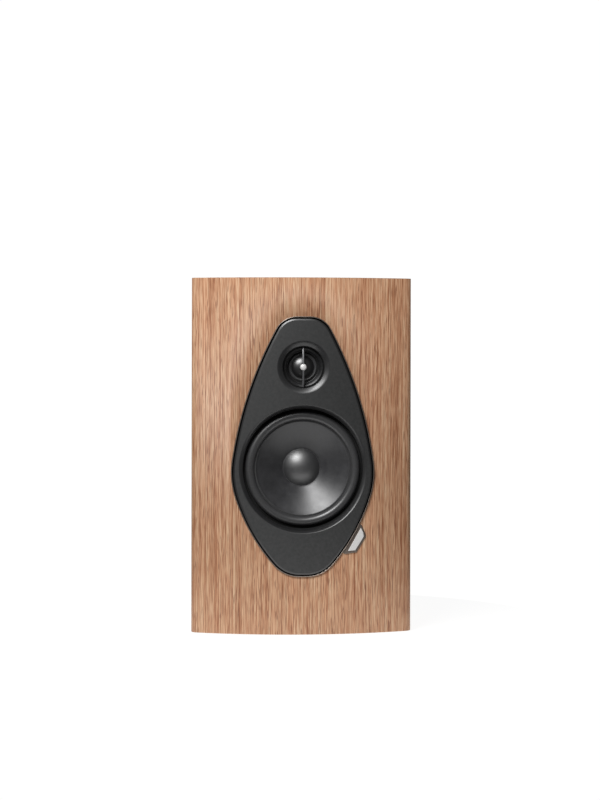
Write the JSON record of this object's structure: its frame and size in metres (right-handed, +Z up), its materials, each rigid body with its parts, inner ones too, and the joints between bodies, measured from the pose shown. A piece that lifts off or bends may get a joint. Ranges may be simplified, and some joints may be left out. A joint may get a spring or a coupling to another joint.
{
  "type": "bookshelf speaker",
  "caption": "Two-way bookshelf loudspeaker: bowed walnut front, lozenge driver plate with mid-woofer and dome tweeter, rear port and binding posts.",
  "frame": {"origin": "centre of the cabinet's footprint box, on the plane that the feet stand on", "axes": "+Z up, the front with the two drivers faces -Y, the terminals face +Y"},
  "size_m": [0.2732, 0.19, 0.44],
  "materials": {
    "walnut_veneer": "open-pore satin walnut veneer",
    "mdf": "raw fibreboard",
    "black_board": "fine textured black paint",
    "plate_leather": "fine leather-grain charcoal",
    "trim_metal": "satin",
    "rubber_black": "matt rubber",
    "cone_paper": "coated pulp, fine mottle",
    "cap_black": "satin-gloss",
    "basket_metal": "black powder coat",
    "steel": "zinc plated",
    "ferrite": "sintered ceramic magnet",
    "copper": "enamelled copper wire",
    "former_film": "amber polyimide film",
    "spider_cloth": "resin-dipped woven cloth",
    "phenolic": "phenolic sheet",
    "silk_black": "coated silk",
    "faceplate_black": "fine matt",
    "black_screw": "black oxide",
    "gold_plate": "gold plated brass",
    "board_green": "solder mask",
    "film_red": "wrapped film",
    "ceramic_white": "cement",
    "nylon": "nylon",
    "wire_red": "soft PVC",
    "wire_blue": "soft PVC",
    "wire_grey": "soft PVC",
    "foam": "open-cell foam",
    "cup_black": "moulded, fine spark texture",
    "nut_red": "clear-red moulded",
    "nut_black": "moulded"
  },
  "bodies": {
    "cabinet": {"front_panel": "mdf", "left_side_panel": "black_board", "right_side_panel": "black_board", "top_panel": "mdf", "bottom_panel": "black_board", "rear_panel": "black_board", "window_brace": "mdf", "veneer_wrap": "walnut_veneer", "veneer_top": "walnut_veneer", "damping_pads": "foam", "rubber_feet": "rubber_black", "baffle_insert": "plate_leather", "trim_frame": "trim_metal", "badge_plate": "trim_metal", "insert_pegs": "nylon", "peg_sockets": "rubber_black", "woofer_basket": "basket_metal", "woofer_gasket": "foam", "woofer_surround": "rubber_black", "spider": "spider_cloth", "woofer_top_plate": "steel", "woofer_magnet": "ferrite", "woofer_yoke": "steel", "woofer_terminal_strip": "phenolic", "tinsel_leads": "copper", "woofer_screws": "black_screw", "tweeter_faceplate": "faceplate_black", "tweeter_surround": "silk_black", "tweeter_top_plate": "steel", "tweeter_magnet": "ferrite", "tweeter_yoke": "steel", "tweeter_rear_chamber": "cup_black", "phase_bar": "trim_metal", "tweeter_screws": "black_screw", "solder_tabs": "gold_plate", "crossover_board": "board_green", "woofer_inductor": "copper", "tweeter_inductor": "copper", "capacitors": "film_red", "resistors": "ceramic_white", "board_supports": "nylon", "woofer_wires": "wire_red", "tweeter_wires": "wire_blue", "input_wires": "wire_grey", "terminal_cup": "cup_black", "terminal_screws": "black_screw", "binding_posts": "gold_plate", "post_nuts": "gold_plate", "port_tube": "cup_black", "bracket_inserts": "gold_plate"},
    "woofer_cone_body": {"woofer_cone": "cone_paper", "dust_cap": "cap_black", "coil_former": "former_film", "woofer_voice_coil": "copper"},
    "tweeter_dome_body": {"tweeter_dome": "silk_black", "tweeter_voice_coil": "copper"},
    "washer_red_body": {"clamp_washer_red": "gold_plate"},
    "washer_black_body": {"clamp_washer_black": "gold_plate"},
    "cap_red_body": {"clamp_cap_red": "nut_red"},
    "cap_black_body": {"clamp_cap_black": "nut_black"}
  },
  "joints": [
    {"name": "woofer_travel", "type": "slide", "parent": "cabinet", "child": "woofer_cone_body", "axis": [0, 1, 0], "range_m": [-0.005, 0.005], "stiffness_N_per_m": 1000, "deforming": ["woofer_surround", "spider", "tinsel_leads"]},
    {"name": "tweeter_travel", "type": "slide", "parent": "cabinet", "child": "tweeter_dome_body", "axis": [0, 1, 0], "range_m": [-0.0005, 0.0005], "stiffness_N_per_m": 1200, "deforming": ["tweeter_surround"]},
    {"name": "red_cap_travel", "type": "slide", "parent": "cabinet", "child": "washer_red_body", "axis": [0, 1, 0], "range_m": [0, 0.003]},
    {"name": "red_cap_turn", "type": "hinge", "parent": "washer_red_body", "child": "cap_red_body", "pos_m": [0.014, 0.08575, 0.092], "axis": [0, 1, 0], "range_deg": [0, 1080]},
    {"name": "black_cap_travel", "type": "slide", "parent": "cabinet", "child": "washer_black_body", "axis": [0, 1, 0], "range_m": [0, 0.003]},
    {"name": "black_cap_turn", "type": "hinge", "parent": "washer_black_body", "child": "cap_black_body", "pos_m": [-0.014, 0.08575, 0.092], "axis": [0, 1, 0], "range_deg": [0, 1080]}
  ],
  "couplings": [
    {"joint": "red_cap_turn", "follows": "red_cap_travel", "rad_per_m": 6283.2},
    {"joint": "black_cap_turn", "follows": "black_cap_travel", "rad_per_m": 6283.2}
  ]
}
